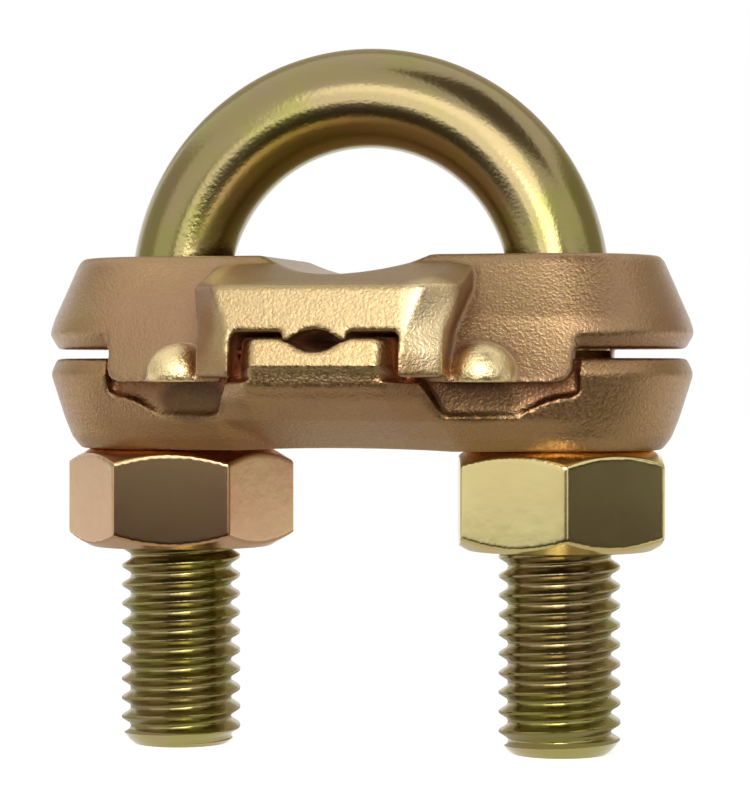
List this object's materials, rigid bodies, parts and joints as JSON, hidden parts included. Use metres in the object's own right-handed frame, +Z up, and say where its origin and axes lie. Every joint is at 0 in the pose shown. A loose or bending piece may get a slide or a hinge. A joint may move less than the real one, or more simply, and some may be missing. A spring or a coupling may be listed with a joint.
{
  "type": "earthing connector",
  "caption": "U-bolt earth rod clamp: two cast saddles grip a round rod under the bow and pinch an earth conductor between them as the nuts are tightened.",
  "frame": {"origin": "midway between the two legs, level with their lower ends", "axes": "+Z up along the legs, +X from the left leg to the right leg, the rod and the conductor run along Y, front faces -Y"},
  "size_m": [0.0428, 0.0292, 0.0458],
  "materials": {
    "plated_steel": "bright zinc plate with a yellow-green passivation",
    "cast_bronze": "cast bronze, blasted, fine sparkling grain",
    "plated_nuts": "forged faces, zinc plate with a yellow passivation"
  },
  "bodies": {
    "u_bolt": {"u_bolt": "plated_steel"},
    "lower_saddle": {"lower_saddle": "cast_bronze"},
    "upper_saddle": {"upper_saddle": "cast_bronze"},
    "nut_left": {"nut_left": "plated_nuts"},
    "nut_right": {"nut_right": "plated_nuts"}
  },
  "joints": [
    {"name": "lower_saddle_travel", "type": "slide", "parent": "u_bolt", "child": "lower_saddle", "axis": [0, 0, 1], "range_m": [-0.012, 0]},
    {"name": "upper_saddle_lift", "type": "slide", "parent": "lower_saddle", "child": "upper_saddle", "axis": [0, 0, 1], "range_m": [0, 0.004]},
    {"name": "nut_left_spin", "type": "hinge", "parent": "lower_saddle", "child": "nut_left", "pos_m": [-0.01275, 0, 0.01635], "axis": [0, 0, 1], "range_deg": [-3456.1, 0]},
    {"name": "nut_right_spin", "type": "hinge", "parent": "lower_saddle", "child": "nut_right", "pos_m": [0.01275, 0, 0.01635], "axis": [0, 0, 1], "range_deg": [-3456.1, 0]}
  ],
  "couplings": [
    {"joint": "nut_left_spin", "follows": "lower_saddle_travel", "rad_per_m": 5026.5},
    {"joint": "nut_right_spin", "follows": "lower_saddle_travel", "rad_per_m": 5026.5}
  ]
}
